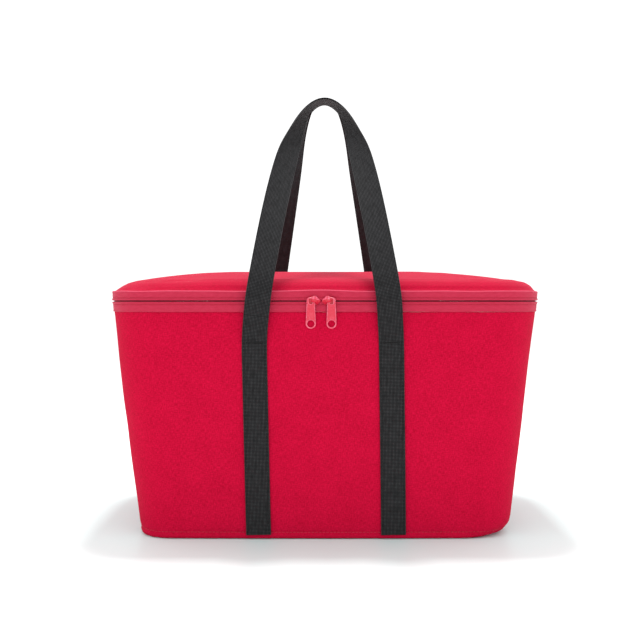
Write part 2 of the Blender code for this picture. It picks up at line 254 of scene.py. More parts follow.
def enamel_material(name, base, edge):
    """Baked enamel over die-cast metal, slightly paler and smoother where it is handled."""
    made = Nodes(name)
    local = made.local()
    orange_peel = made.noise(local, 1800, 2.0, 0.5)
    wear = made.ramp(made.noise(local, 420, 4.0, 0.65), 0.45, 0.75)
    made.set(colour=made.mix(wear, base, edge), specular=0.5)
    made.set(roughness=made.math("MULTIPLY_ADD", wear, -0.1, 0.36), coat=0.3, coat_roughness=0.2)
    made.bump(orange_peel, 0.15, 0.00008)
    return made.material


def plain_material(name, dark, light, scale, roughness, bump, **more):
    """Two close tones in a fine noise, with a matching bump, for small and inner pieces."""
    made = Nodes(name)
    grain = made.noise(made.local(), scale, 3.0, 0.6)
    made.set(colour=made.mix(made.ramp(grain, 0.3, 0.7), dark, light), **more)
    made.set(roughness=made.math("MULTIPLY_ADD", grain, 0.15, roughness))
    made.bump(grain, 0.4, bump)
    return made.material


def foil_material(name):
    """Metallised film: soft creases and small dimples in a satin silver."""
    made = Nodes(name)
    local = made.local()
    folds = made.noise(local, 22, 4.0, 0.6)
    creases = made.add("ShaderNodeTexVoronoi", {"Vector": local, "Scale": 24}, feature="DISTANCE_TO_EDGE")
    edge = made.math("MULTIPLY", made.math("MINIMUM", creases.outputs[0], 0.08), made.ramp(folds, 0.35, 0.7))
    grain = made.noise(local, 900, 2.0, 0.5)
    made.set(colour=made.mix(made.ramp(folds, 0.3, 0.7), rgb(196, 199, 203), rgb(226, 228, 231)))
    made.set(metallic=0.85, roughness=made.math("MULTIPLY_ADD", grain, 0.12, 0.26))
    made.bump(edge, 0.35, 0.008)
    made.bump(folds, 0.5, 0.004)
    made.bump(grain, 0.2, 0.0002)
    return made.material


RED = melange_material("outer_fabric", rgb(164, 2, 37), rgb(216, 16, 64), 0.015)
# The lid's copy of the same fabric, with a stronger sheen and a darker base tuned to the light on the lid's
# top: a painted sheen.
RED_TOP_PAINTED_SHEEN = melange_material("outer_fabric_top_painted_sheen", rgb(162, 2, 36), rgb(206, 12, 60), 0.12)
TAPE = tape_material("zip_tape", rgb(168, 14, 44), rgb(212, 60, 92))
WEBBING = webbing_material("webbing", rgb(10, 10, 11), rgb(72, 72, 74))
ENAMEL = enamel_material("slider_enamel", rgb(206, 12, 48), rgb(218, 40, 72))
PULL_FACE = enamel_material("pull_enamel", rgb(212, 26, 60), rgb(224, 56, 86))
# A paler copy of the enamel: a painted highlight on the crown's upward faces and along the pull's rims.
PAINTED_HIGHLIGHT_ENAMEL = enamel_material("painted_highlight_enamel", rgb(228, 76, 106), rgb(240, 136, 158))
# The coil is red plastic; its near-black red here is painted shade in the slit between the tapes.
COIL = plain_material("zip_coil", rgb(48, 4, 14), rgb(84, 10, 24), 900, 0.4, 0.0001)
RED_THREAD = plain_material("red_thread", rgb(170, 8, 40), rgb(205, 36, 70), 2400, 0.6, 0.0001)
BLACK_THREAD = plain_material("black_thread", rgb(5, 5, 6), rgb(14, 14, 15), 2400, 0.8, 0.0001)
FOAM = plain_material("foam", rgb(214, 214, 208), rgb(232, 231, 226), 600, 0.85, 0.0003)
BOARD = plain_material("base_board", rgb(52, 53, 56), rgb(74, 75, 78), 300, 0.6, 0.0002)
FOIL = foil_material("liner_foil")
BINDING = tape_material("binding", rgb(120, 122, 126), rgb(168, 170, 174))
# A paler copy of the tape: a painted highlight along the lid's piping bead.
PIPING_PAINTED_HIGHLIGHT = tape_material("piping", rgb(206, 52, 84), rgb(236, 104, 132))


# ---- mesh helpers

def new_object(name, data):
    obj = bpy.data.objects.new(name, data)
    bpy.context.scene.collection.objects.link(obj)
    return obj


def mesh_of(name, bm):
    mesh = bpy.data.meshes.new(name)
    bm.to_mesh(mesh)
    bm.free()
    return mesh


def evaluated_mesh(obj):
    bpy.context.view_layer.update()
    return bpy.data.meshes.new_from_object(obj.evaluated_get(bpy.context.evaluated_depsgraph_get()))


def finish_piece(name, bm, material, body, replaced=(), smooth_angle=40):
    """One object from a bmesh, riding on a body. body is None where the piece is left on no body."""
    bmesh.ops.recalc_face_normals(bm, faces=bm.faces)
    mesh = mesh_of(name, bm)
    mesh.materials.append(material)
    mesh.shade_smooth()
    mesh.set_sharp_from_angle(angle=math.radians(smooth_angle))
    piece = new_object(name, mesh)
    if replaced:
        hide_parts(*replaced)
    if body is not None:
        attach(piece, body)
    return piece


def metres_layer(bm):
    return bm.loops.layers.uv.get("metres") or bm.loops.layers.uv.new("metres")


def loft(bm, rows, closed_rows=False, caps=True, metres=None):
    """Faces over equal rings of points; metres gives each corner's place along the cloth."""
    layer = metres_layer(bm)
    grid = [[bm.verts.new(point) for point in row] for row in rows]
    count = len(grid[0])
    last_row = len(grid) if closed_rows else len(grid) - 1
    for r in range(last_row):
        one, two = grid[r], grid[(r + 1) % len(grid)]
        for i in range(count):
            j = (i + 1) % count
            face = bm.faces.new((one[i], one[j], two[j], two[i]))
            if metres is not None:
                corners = ((r, i), (r, i + 1), (r + 1, i + 1), (r + 1, i))
                for loop, (row, column) in zip(face.loops, corners):
                    loop[layer].uv = metres(row, column)
    if caps and not closed_rows:
        bm.faces.new(grid[0])
        bm.faces.new(grid[-1])
    return grid


def lofted(rows, metres=None):
    bm = bmesh.new()
    loft(bm, rows, metres=metres)
    return bm


def flat_metres(bm, place):
    """Cloth coordinates from a flat view of each corner."""
    layer = metres_layer(bm)
    for face in bm.faces:
        for loop in face.loops:
            loop[layer].uv = place(loop.vert.co)


def there_and_back(column, count):
    """The place on a section of so many points, for a column of the ring that runs out and back."""
    column = column % (2 * count)
    return column if column < count else 2 * count - 1 - column


def circle(count):
    """Angles evenly round a full turn."""
    return [2 * math.pi * k / count for k in range(count)]


def oval(centre, one, two, count):
    """A ring of points round a centre, from its two half axes."""
    return [centre + one * math.cos(angle) + two * math.sin(angle) for angle in circle(count)]


def rounded(angle, half_u, half_v, power):
    """A point of an oblong with rounded corners."""
    cos, sin = math.cos(angle), math.sin(angle)
    return (math.copysign(abs(cos) ** power, cos) * half_u, math.copysign(abs(sin) ** power, sin) * half_v)


def mix(a, b, t):
    return a + (b - a) * t


def smooth(t):
    t = min(max(t, 0.0), 1.0)
    return t * t * (3 - 2 * t)


def shares(count):
    """Even shares from 0 to 1, so many steps apart."""
    return [i / count for i in range(count + 1)]


def lengths(points):
    """Running length along a list of points."""
    total = [0.0]
    for one, two in zip(points, points[1:]):
        total.append(total[-1] + (two - one).length)
    return total


def even_places(run, count):
    """Places evenly along a run of lengths: the index of the point before, and the share past it."""
    made, at = [], 0
    for t in shares(count):
        target = run[-1] * t
        while at < len(run) - 2 and run[at + 1] < target:
            at += 1
        made.append((at, (target - run[at]) / max(run[at + 1] - run[at], 1e-9)))
    return made


def resample(points, step):
    """The same line with its points a step apart."""
    run = lengths(points)
    places = even_places(run, max(1, round(run[-1] / step)))
    return [points[at].lerp(points[at + 1], t) for at, t in places]


def spline(t, a, b, c, d):
    """A Catmull-Rom curve from b to c."""
    square, cube = 2 * a - 5 * b + 4 * c - d, 3 * b - a - 3 * c + d
    return 0.5 * (2 * b + (c - a) * t + square * t * t + cube * t ** 3)


def curve_through(points, steps):
    """A smooth line through points, with so many steps between each two."""
    made = []
    for i in range(len(points) - 1):
        ends = (points[max(i - 1, 0)], points[i], points[i + 1], points[min(i + 2, len(points) - 1)])
        made += [tuple(spline(t, *four) for four in zip(*ends)) for t in shares(steps)[:-1]]
    made.append(tuple(points[-1]))
    return made


# ---- the tub's outline

CORNER_STEPS = 14


def corner(side_x, side_y, first_angle):
    step = 90 / CORNER_STEPS
    return [(side_x, side_y, first_angle + step * i) for i in range(CORNER_STEPS + 1)]


def run_between(one, two, steps):
    """Stations between two on the same straight, without the ends."""
    return [(mix(one[0], two[0], t), mix(one[1], two[1], t), two[2]) for t in shares(steps)[1:-1]]


BACK_LEFT = corner(-1, 1, 90)
FRONT_LEFT = corner(-1, -1, 180)
FRONT_RIGHT = corner(1, -1, 270)
BACK_RIGHT = corner(1, 1, 0)
LEFT_RUN = run_between(BACK_LEFT[-1], FRONT_LEFT[0], 20)
FRONT_RUN = run_between(FRONT_LEFT[-1], FRONT_RIGHT[0], 54)
RIGHT_RUN = run_between(FRONT_RIGHT[-1], (1, 1, 360), 20)
BACK_RUN = run_between(BACK_RIGHT[-1], BACK_LEFT[0], 54)
WHOLE = BACK_LEFT + LEFT_RUN + FRONT_LEFT + FRONT_RUN + FRONT_RIGHT + RIGHT_RUN + BACK_RIGHT + BACK_RUN


def halves(ring):
    """The front and the back half of a ring over the whole outline, which share their end places."""
    left, right = (WHOLE.index(run[len(run) // 2]) for run in (LEFT_RUN, RIGHT_RUN))
    return ring[left:right + 1], ring[right:] + ring[:left + 1]


def back_station(x):
    return (x / (TOP[0] - TOP[2]), 1, 90)


ZIP_RUN = [back_station(-ZIP_END_X)]
ZIP_RUN += run_between(ZIP_RUN[0], BACK_LEFT[0], 4) + WHOLE[:-len(BACK_RUN)]
ZIP_RUN += run_between(BACK_RIGHT[-1], back_station(ZIP_END_X), 4) + [back_station(ZIP_END_X)]


def section_at(z):
    t = min(z / ZIP_Z, 1.0)
    return tuple(mix(low, high, t) for low, high in zip(BASE, TOP))


def outline_point(station, inset, z):
    half_x, half_y, radius = section_at(z)
    half_x, half_y = half_x - inset, half_y - inset
    radius = max(radius - inset, 0.25 * half_y)
    share_x, share_y, degrees = station
    angle = math.radians(degrees)
    x = share_x * (half_x - radius)
    y = share_y * (half_y - radius)
    return Vector((x + radius * math.cos(angle), y + radius * math.sin(angle), z))


def outward(station):
    angle = math.radians(station[2])
    return Vector((math.cos(angle), math.sin(angle), 0))


def swell(point):
    """How far the padded wall stands out from its straight line at a point on it."""
    half_x, half_y, _ = section_at(point.z)
    rise = math.sin(math.pi * min(max(point.z / 0.205, 0), 1))
    on_face = abs(point.y) > 0.8 * half_y
    across = max(0.0, 1 - (point.x / half_x) ** 2) if on_face else 0.35
    bow = 0.0020 * smooth(1 - point.z / 0.15) * across if on_face else 0.0
    soft = noise.noise(point * 14 + Vector((3.1, 7.7, 1.3)))
    fine = noise.noise(point * 38 + Vector((9.2, 0.4, 5.6)))
    return bow + rise * (0.0016 * across + 0.0009 * soft + 0.0003 * fine)


def round_foot(station, inset, z):
    """How far the base's edge turns in: the right end of the bag has a rounder foot."""
    place = outline_point(station, inset, z)
    radius = 0.0002 + 0.0165 * smooth((place.x / section_at(z)[0] - 0.70) / 0.24)
    if z >= radius:
        return 0.0
    return radius - math.sqrt(radius ** 2 - (radius - z) ** 2)


def tub_point(station, inset, z, out=0.0):
    point = outline_point(station, inset + round_foot(station, inset, z), z)
    point.x -= 0.0010 * math.sin(math.pi * smooth((z - 0.10) / 0.135))
    return point + outward(station) * (swell(point) + out)


def panel_y(x, z):
    """The outer face of the flat front at a height, as a positive distance from the middle."""
    half_y = section_at(z)[1]
    return half_y + swell(Vector((x, -half_y, z)))


# ---- camera, light and floor

CAMERA_AT = (-0.0051, -0.950, ZIP_Z)
CAMERA_DIP = 1.3
SOFTBOX_AT = (-0.03, 0.30, 1.95)
SOFTBOX_LEAN = -8.4


def build_stage():
    scene = bpy.context.scene
    camera = bpy.data.cameras.new("camera")
    camera.sensor_width = 36.0
    camera.lens = 47.0
    scene.camera = new_object("camera", camera)
    scene.camera.location = CAMERA_AT
    scene.camera.rotation_euler = (math.radians(90 - CAMERA_DIP), 0, 0)
    scene.view_settings.view_transform = "Standard"

    scene.world = bpy.data.worlds.new("studio")
    scene.world.use_nodes = True
    background = scene.world.node_tree.nodes["Background"]
    background.inputs[0].default_value = (1, 1, 1, 1)
    background.inputs[1].default_value = 1.16

    # A softbox high above and behind: it lights the lid and casts the bag's outline on the floor.
    light = bpy.data.lights.new("softbox", "AREA")
    light.shape = "RECTANGLE"
    light.size = 0.24
    light.size_y = 0.24
    light.energy = 21.0
    lamp = new_object("softbox", light)
    lamp.location = SOFTBOX_AT
    lamp.rotation_euler = (math.radians(SOFTBOX_LEAN), 0, 0)
    build_floor()


def build_floor():
    """A white floor, a little cooler near the bag, which evens out the bag's red bounce."""
    made = Nodes("floor")
    parts = made.add("ShaderNodeSeparateXYZ", {0: made.local()})
    x = made.math("POWER", made.math("DIVIDE", parts.outputs[0], 0.285), 2.0)
    y = made.math("POWER", made.math("DIVIDE", parts.outputs[1], 0.185), 2.0)
    near = made.ramp(made.math("ADD", x, y), 2.0, 0.5)
    made.set(colour=made.mix(near, (0.95, 0.95, 0.95, 1), (0.73, 0.945, 0.935, 1)))
    made.set(roughness=0.4, specular=0.1)
    bm = bmesh.new()
    bmesh.ops.create_grid(bm, x_segments=1, y_segments=1, size=20)
    floor = new_object("floor", mesh_of("floor", bm))
    floor.data.materials.append(made.material)


# ---- tub

# The wall from the turned-in foot, over the stitched bottom band, to the zip: (inset, height).
SEAM_Z = 0.0072
WALL = (
    (0.0092, 0.0007), (0.0058, 0.0003), (0.0028, 0.0003), (0.0010, 0.0009),
    (0.0001, 0.0024), (0.0000, 0.0048), (0.0009, SEAM_Z), (0.0004, 0.0086),
    (0.0001, 0.0104), (0.0000, 0.0130),
)
WALL_ROWS = 44
WALL_SKIN = 0.0008


def wall_profile():
    straight = [(0.0, mix(WALL[-1][1], PANEL_TOP, t)) for t in shares(WALL_ROWS)[1:]]
    return list(WALL) + straight + [(0.0010, PANEL_TOP + 0.0002)]


def build_wall(name, run, replaced):
    profile = wall_profile()
    girth = lengths([outline_point(station, 0, ZIP_Z) for station in run])
    heights = lengths([Vector((inset, z, 0)) for inset, z in profile])
    rows = []
    for station in run:
        outer = [tub_point(station, inset, z) for inset, z in profile]
        inner = [tub_point(station, inset + WALL_SKIN, z + 0.0004 * (z < 0.002)) for inset, z in profile]
        rows.append(outer + inner[::-1])
    bm = lofted(rows, lambda row, column: (girth[row], heights[there_and_back(column, len(profile))]))
    finish_piece(name, bm, RED, "root", replaced)


def build_tub():
    front, back = halves(WHOLE)
    build_wall("front_fabric", front, ("front_panel",))
    build_wall("back_fabric", back, ("back_panel",))
    build_side_seam(front[0], "side_seam_left")
    build_side_seam(front[-1], "side_seam_right")
    build_base()
    build_bottom_stitches()


FELLED_HALF = 0.0040
FELLED_STEPS = 48
# Across the side seam's strip: (share of its half width, stand-out).
FELLED_SECTION = ((-1, 0.0), (-0.9, 0.0006), (-0.45, 0.0008), (0, 0.0009), (0.45, 0.0008), (0.9, 0.0006),
                  (1, 0.0), (0, -0.0003))


def build_side_seam(station, node):
    """A flat felled strip over the join, with a row of stitches down each edge."""
    side = station[0]
    rows = []
    for t in shares(FELLED_STEPS):
        at = tub_point(station, 0, mix(0.0045, PANEL_TOP - 0.0006, t))
        rows.append([at + Vector((side * (rise + 0.0001), share * FELLED_HALF, 0))
                     for share, rise in FELLED_SECTION])
    bm = lofted(rows, lambda row, column: (row * 0.0048, (column % len(FELLED_SECTION)) * 0.0016))
    finish_piece(node.replace("side", "side_felled"), bm, RED, "root", (node,))
    for edge, face in FACES:
        aside = Vector((side * 0.0009, edge * FELLED_HALF * 0.66, 0))
        heights = [mix(0.0080, PANEL_TOP - 0.0010, t) for t in shares(FELLED_STEPS)]
        line = [tub_point(station, 0, z) + aside for z in heights]
        stitch_row(f"{node}_stitches_{face}", line, Vector((side, 0, 0)))


def build_base():
    """The base fabric, flat where it rests and turned up into the seam round its edge."""
    rows = []
    for inset, z in ((0.0090, 0.0016), (0.0090, 0.0004), (0.0100, 0.0), (0.03, 0.0), (0.07, 0.0)):
        turned = [inset + 0.5 * round_foot(station, inset, z) for station in WHOLE]
        rows.append([outline_point(station, far, 0) + UP * z for station, far in zip(WHOLE, turned)])
    bm = lofted(rows)
    flat_metres(bm, lambda place: place.xy)
    finish_piece("base_fabric", bm, RED, "root", ("base_panel",))


# Along one stitch: (share of its length, height and thickness as shares of the thread's radius).
STITCH = ((0.0, -0.9, 0.5), (0.16, 0.1, 0.9), (0.5, 0.35, 1.0), (0.84, 0.1, 0.9), (1.0, -0.9, 0.5))


def stitch_row(name, line, normal, body="root", size=(0.0024, 0.0009, 0.00026), thread=RED_THREAD):
    """Separate stitches along a line: short threads that dive into the cloth at both ends.

    size is a stitch's length, the gap after it and the thread's radius.
    """
    length, gap, radius = size
    points = resample(line, length + gap)
    bm = bmesh.new()
    for one, two in zip(points, points[1:]):
        along = (two - one).normalized()
        up = (normal if isinstance(normal, Vector) else normal(one)).normalized()
        side = along.cross(up).normalized()
        rings = []
        for t, rise, thick in STITCH:
            at = one + along * (length * t) + up * (radius * rise)
            rings.append(oval(at, up * (radius * thick), side * (radius * thick), 5))
        loft(bm, rings)
    return finish_piece(name, bm, thread, body)


def outline_normal(half, power):
    """The way out from a rounded outline, as a function of the point on it."""
    def normal(point):
        x, y = (place ** (power - 1) / size ** power for place, size in zip(point, half))
        return Vector((x, y, 0))
    return normal


def build_bottom_stitches():
    line = [tub_point(station, 0.0006, SEAM_Z) for station in WHOLE + WHOLE[:1]]
    stitch_row("bottom_topstitch", line, outline_normal(BASE[:2], 4), size=(0.0029, 0.0008, 0.00030))


# ---- zip

# Cross-section of a tape: (stand-out from the outline, distance from the zip line).
TAPE_SECTION = (
    (-0.0014, 0.0013), (-0.0010, 0.0007), (-0.0002, 0.0005), (0.0006, 0.0007),
    (0.0012, 0.0013), (0.0013, 0.0019), (0.0008, 0.0027), (0.0002, 0.0032),
    (0.0006, 0.0037), (0.0008, 0.0055), (0.0008, 0.0074), (0.0011, 0.0084),
    (0.0012, 0.0090), (0.0007, 0.0094), (0.0000, 0.0092), (-0.0001, 0.0040),
)


def tape_ripple(point, side):
    """The tape's free edge wanders slightly, and rises a little over the closed sliders."""
    up = 0.0005 * noise.noise(point * 26 + Vector((side * 4.0, 2.0, 8.0)))
    out = 0.0004 * noise.noise(point * 40 + Vector((side * 9.0, 5.0, 1.0)))
    if side > 0 and point.y < 0:
        up += 0.0009 * math.exp(-(((point.x - MEET_X) / 0.022) ** 2))
    return up, out


def tape_point(station, stand_out, rise, side):
    share = smooth((rise - 0.0035) / 0.0055)
    up, out = tape_ripple(outline_point(station, 0, ZIP_Z), side)
    point = outline_point(station, 0, ZIP_Z + side * rise)
    return point + outward(station) * (stand_out + out * share) + UP * (up * share)


def build_tape(name, side, stretch, body, node):
    """One half of the zip's tape. stretch widens its free part."""
    rows = []
    for station in ZIP_RUN:
        rows.append([tape_point(station, out, rise * (1 if rise < 0.004 else stretch), side)
                     for out, rise in TAPE_SECTION])
    girth = lengths([row[4] for row in rows])
    across = lengths([Vector((out, rise, 0)) for out, rise in TAPE_SECTION])
    bm = lofted(rows, lambda row, column: (girth[row], across[column % len(TAPE_SECTION)]))
    finish_piece(name, bm, TAPE, body, (node,))
    line = [tape_point(station, 0.0005, 0.0032, side) for station in ZIP_RUN]
    stitch_row(name + "_stitches", line, outline_normal(TOP[:2], 8), body, (0.0021, 0.0007, 0.00024))


# Up one loop of the coil: (distance from the zip line, thickness share).
COIL_LOOP = ((-0.0006, 0.55), (-0.0002, 1.0), (0.0030, 0.9), (0.0034, 0.5))
COIL_PITCH = 0.0017


def build_coil(name, side, body, node):
    """Interlocking loops of the coil, half a pitch apart on the two sides, on a cord core."""
    line = resample([outline_point(station, 0.0015, ZIP_Z) for station in ZIP_RUN], COIL_PITCH)
    bm = bmesh.new()
    for one, two in zip(line, line[1:]):
        centre = one.lerp(two, 0.25 * (side + 1) + 0.25)
        along = (two - one).normalized()
        out = along.cross(UP)
        rings = []
        for rise, thick in COIL_LOOP:
            at = centre + UP * (side * rise)
            rings.append(oval(at, along * (0.0004 * thick), out * (0.0007 * thick), 6))
        loft(bm, rings)
    # The coil and its cord take the near-black red: painted shade in the slit.
    finish_piece(name, bm, COIL, body, (node,))
    core = []
    for station in ZIP_RUN:
        centre = outline_point(station, 0.0016, ZIP_Z) + UP * (side * 0.0022)
        core.append(oval(centre, outward(station) * 0.0008, UP * 0.0012, 6))
    finish_piece(name + "_cord", lofted(core), COIL, body)


def build_zip():
    build_tape("zip_tape_bottom", -1, 1.15, "root", "zip_tape_lower")
    build_tape("zip_tape_top", 1, 1.0, "lid", "zip_tape_upper")
    build_coil("zip_teeth_bottom", -1, "root", "zip_coil_lower")
    build_coil("zip_teeth_top", 1, "lid", "zip_coil_upper")


HINGE_COLUMNS = 90


def hinge_section():
    """The hinge strip from bottom to top, folded at the zip line: (stand-out, height over it)."""
    section = []
    for t in shares(28):
        rise = mix(-0.0108, 0.0094, t)
        fold = 0.0007 * math.exp(-((rise / 0.0022) ** 2))
        crease = 0.0005 * math.exp(-(((abs(rise) - 0.0036) / 0.0008) ** 2))
        edge = 0.0003 * smooth((abs(rise - 0.0007) - 0.0080) / 0.0014)
        section.append((0.0007 + fold - crease + edge, rise))
    return section


def build_hinge():
    """The strip of tape that closes the gap at the back."""
    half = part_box("hinge_strip_lower")[1].x
    places = [mix(-half, half, t) for t in shares(HINGE_COLUMNS)]
    section = hinge_section()
    rows = []
    for x in places:
        outer = []
        for out, rise in section:
            ripple = 0.0003 * noise.noise(Vector((x * 45, rise * 60, 2.7)))
            outer.append(outline_point(back_station(x), 0, ZIP_Z + rise) + Vector((0, out + ripple, 0)))
        rows.append(outer + [point - Vector((0, 0.0008, 0)) for point in reversed(outer)])
    step = 2 * half / HINGE_COLUMNS
    bm = lofted(rows, lambda row, column: (row * step, section[there_and_back(column, len(section))][1]))
    nodes = ("hinge_strip_lower", "hinge_strip_upper")
    piece = finish_piece("hinge_fabric", bm, TAPE, None, nodes)
    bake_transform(piece)
    for side, body, name in ((-1, "root", "hinge_stitches_bottom"), (1, "lid", "hinge_stitches_top")):
        line = []
        for x in places:
            point = outline_point(back_station(x), 0, ZIP_Z + min(side, 0) * 0.0075)
            point.z = ZIP_Z + side * 0.0072
            line.append(point + Vector((0, 0.0009, 0)))
        stitch_row(name, line, Vector((0, 1, 0)), body, (0.0026, 0.0009, 0.00024))


# The end tab's rings from its back to its front: (how much wider, stand-out).
END_RINGS = ((-0.0004, -0.0004), (0, 0.0), (0, 0.0004), (-0.0005, 0.0008), (-0.0018, 0.00095),
             (-0.0035, 0.0010))


def build_zip_ends():
    """A folded tab of tape over each end of the zip, held by a square of stitches."""
    for _, hand in SIDES:
        low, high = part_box(f"zip_end_{hand}")
        middle, half = (low + high) / 2, (high - low) / 2
        station = back_station(middle.x)
        rings = []
        for grow, rise in END_RINGS:
            ring = []
            for angle in circle(32):
                u, v = rounded(angle, half.x + grow, half.z + grow, 0.35)
                y = outline_point(station, 0, middle.z + v).y + 0.0010 + rise
                ring.append(Vector((middle.x + u, y, middle.z + v)))
            rings.append(ring)
        bm = lofted(rings)
        flat_metres(bm, lambda place: place.xz)
        finish_piece(f"zip_end_tab_{hand}", bm, TAPE, "root", (f"zip_end_{hand}",))
        line = []
        for u, v in ((-1, -1), (1, -1), (1, 1), (-1, 1), (-1, -1)):
            z = middle.z + v * (half.z - 0.0013)
            y = outline_point(station, 0, z).y + 0.0020
            line.append(Vector((middle.x + u * (half.x - 0.0014), y, z)))
        stitch_row(f"zip_end_stitches_{hand}", line, Vector((0, 1, 0)), size=(0.0015, 0.0006, 0.00022))


# ---- sliders and pulls

MEET_X = (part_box("slider_left")[1].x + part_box("slider_right")[0].x) / 2
PULL_TILT = math.radians(10.0)
PULL_THICK = 0.0011

# The slider's outline as (place along it, half height), from its blunt end to its nose.
SLIDER_OUTLINE = ((-0.0058, 0.0010), (-0.0052, 0.0024), (-0.0036, 0.0038), (-0.0012, 0.0046),
                  (0.0012, 0.0048), (0.0030, 0.0040), (0.0050, 0.0026), (0.0066, 0.0013),
                  (0.0075, 0.0004))

# The crown, from the pull's eye to the nose: (place, upper edge, lower edge, ridge, back).
CROWN = (
    (-0.0024, 0.0010, -0.0007, 0.0012, 0.0000),
    (-0.0020, 0.0018, -0.0009, 0.0030, 0.0000),
    (-0.0014, 0.0030, -0.0011, 0.0046, 0.0000),
    (-0.0006, 0.0042, -0.0012, 0.0052, 0.0040),
    (0.0006, 0.0050, -0.0013, 0.0054, 0.0040),
    (0.0018, 0.0054, -0.0017, 0.0053, 0.0040),
    (0.0024, 0.0053, -0.0026, 0.0050, 0.0000),
    (0.0034, 0.0045, -0.0036, 0.0042, 0.0000),
    (0.0048, 0.0032, -0.0029, 0.0029, 0.0000),
    (0.0062, 0.0018, -0.0017, 0.0017, 0.0000),
    (0.0073, 0.0006, -0.0005, 0.0009, 0.0000),
)
SLIDER_FACE_Y = -0.1262
SLIDER_BACK_Y = (-0.1222, -0.1208)
# The slider's front plate from the tape outwards: (scale, stand-out).
SLIDER_RINGS = ((0.95, 0.0), (1.0, 0.0003), (1.0, 0.0007), (0.95, 0.0011), (0.80, 0.0013), (0.40, 0.0014))


def build_slider(side, hand):
    """The slider's front and back plates, and the post between them."""
    low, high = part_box(f"slider_{hand}")
    middle_x = (low.x + high.x) / 2
    outline = curve_through(SLIDER_OUTLINE, 3)
    loop = outline + [(u, -v * 0.88) for u, v in reversed(outline)]

    def ring(y, scale, squash=1.0):
        return [Vector((middle_x - side * u * scale, y, ZIP_Z + v * scale * squash)) for u, v in loop]

    first, last = SLIDER_BACK_Y
    back = ((first, 0.83), (first + 0.0004, 0.88), (last - 0.0004, 0.88), (last, 0.83))
    bm = bmesh.new()
    loft(bm, [ring(SLIDER_FACE_Y - rise, scale) for scale, rise in SLIDER_RINGS])
    loft(bm, [ring(y, scale, 0.92) for y, scale in back])
    loft(bm, [oval(Vector((middle_x, y, ZIP_Z)), Vector((0.0022, 0, 0)), UP * 0.0004, 12)
              for y in (SLIDER_FACE_Y - 0.0004, first + 0.0006)])
    node = f"slider_{hand}"
    finish_piece(f"slider_body_{hand}", bm, ENAMEL, node, (node,), 32)
    build_crown(side, hand, middle_x)


def build_crown(side, hand, middle_x):
    """The bridge that the pull hangs on: faceted, from the nose over the tab and into its eye."""
    rings = []
    for u, top, bottom, ridge, back in CROWN:
        x = middle_x - side * u
        behind = SLIDER_FACE_Y - max(back, 0.0006)
        foot = min(SLIDER_FACE_Y - 0.0009, behind)
        ring = []
        for v, rise in ((top, 0.0), (top * 0.94, 0.14), (top * 0.35, 0.92), (top * 0.12, 1.0),
                        (bottom * 0.2, 0.97), (bottom * 0.9, 0.2), (bottom, 0.0)):
            y = min(mix(foot, SLIDER_FACE_Y - ridge, rise), behind - 0.0001)
            ring.append(Vector((x, y, ZIP_Z + v)))
        ring += [Vector((x, behind, ZIP_Z + v)) for v in (bottom * 0.98, top * 0.98)]
        rings.append(ring)
    bm = lofted(rings)
    bmesh.ops.recalc_face_normals(bm, faces=bm.faces)
    # Faces turned upwards take the paler enamel: a painted highlight from the light above.
    for face in bm.faces:
        face.material_index = int(face.normal.z > 0.3)
    name = f"slider_crown_{hand}"
    crown = finish_piece(name, bm, ENAMEL, f"slider_{hand}", (f"crown_{hand}",), 24)
    crown.data.materials.append(PAINTED_HIGHLIGHT_ENAMEL)


PULL_TOP = (0.0040, 0.0036)
PULL_FOOT = 0.0050
PULL_HOLE_DROP = 0.0228
PULL_HOLE_RADIUS = 0.0036
EYE_HALF = (0.0018, 0.0028)


def pull_outline(shrink):
    """The tab's edge in its own plane, moved inwards by a distance."""
    half_turn = [math.pi * i / 20 for i in range(21)]
    top = [rounded(angle, PULL_TOP[0] - shrink, PULL_TOP[1] - shrink, 0.72) for angle in half_turn]
    radius = PULL_FOOT - shrink
    return top + [(-radius * math.cos(a), -PULL_HOLE_DROP - radius * math.sin(a)) for a in half_turn]


def pull_eye(grow):
    points = [rounded(angle, EYE_HALF[0] + grow, EYE_HALF[1] + grow, 0.6) for angle in circle(28)]
    return [(u, v - 0.0002) for u, v in points]


def pull_hole(grow):
    radius = PULL_HOLE_RADIUS + grow
    return [(radius * math.cos(a), radius * math.sin(a) - PULL_HOLE_DROP) for a in circle(36)]


def pull_plate():
    """The tab's thin plate with its two openings, lying flat."""
    curve = bpy.data.curves.new("pull_plate", "CURVE")
    curve.dimensions = "2D"
    curve.fill_mode = "BOTH"
    curve.extrude = PULL_THICK / 2 - 0.0003
    curve.bevel_depth = 0.00008
    curve.bevel_resolution = 1
    for outline in (pull_outline(0.0002), pull_eye(0.0002), pull_hole(0.0002)):
        spline = curve.splines.new("POLY")
        spline.points.add(len(outline) - 1)
        for point, (u, v) in zip(spline.points, outline):
            point.co = (u, v, 0, 1)
        spline.use_cyclic_u = True
    holder = new_object("pull_plate", curve)
    bm = bmesh.new()
    bm.from_mesh(evaluated_mesh(holder))
    bpy.data.objects.remove(holder)
    bmesh.ops.remove_doubles(bm, verts=bm.verts, dist=1e-7)
    return bm


def add_rim(bm, outline):
    """A raised bead along one of the plate's edges."""
    rows = []
    for i, (u, v) in enumerate(outline):
        before, after = outline[i - 1], outline[(i + 1) % len(outline)]
        along = Vector((after[0] - before[0], after[1] - before[1], 0)).normalized()
        out = Vector((along.y, -along.x, 0))
        ring = []
        for angle in circle(10):
            side, rise = rounded(angle, 0.00038, PULL_THICK / 2, 0.7)
            ring.append(Vector((u, v, 0)) + out * side + UP * rise)
        rows.append(ring)
    plain = len(bm.faces)
    loft(bm, rows, closed_rows=True)
    bm.faces.ensure_lookup_table()
    # The rim takes the paler enamel: a painted highlight along the edge.
    for face in bm.faces[plain:]:
        face.material_index = 1


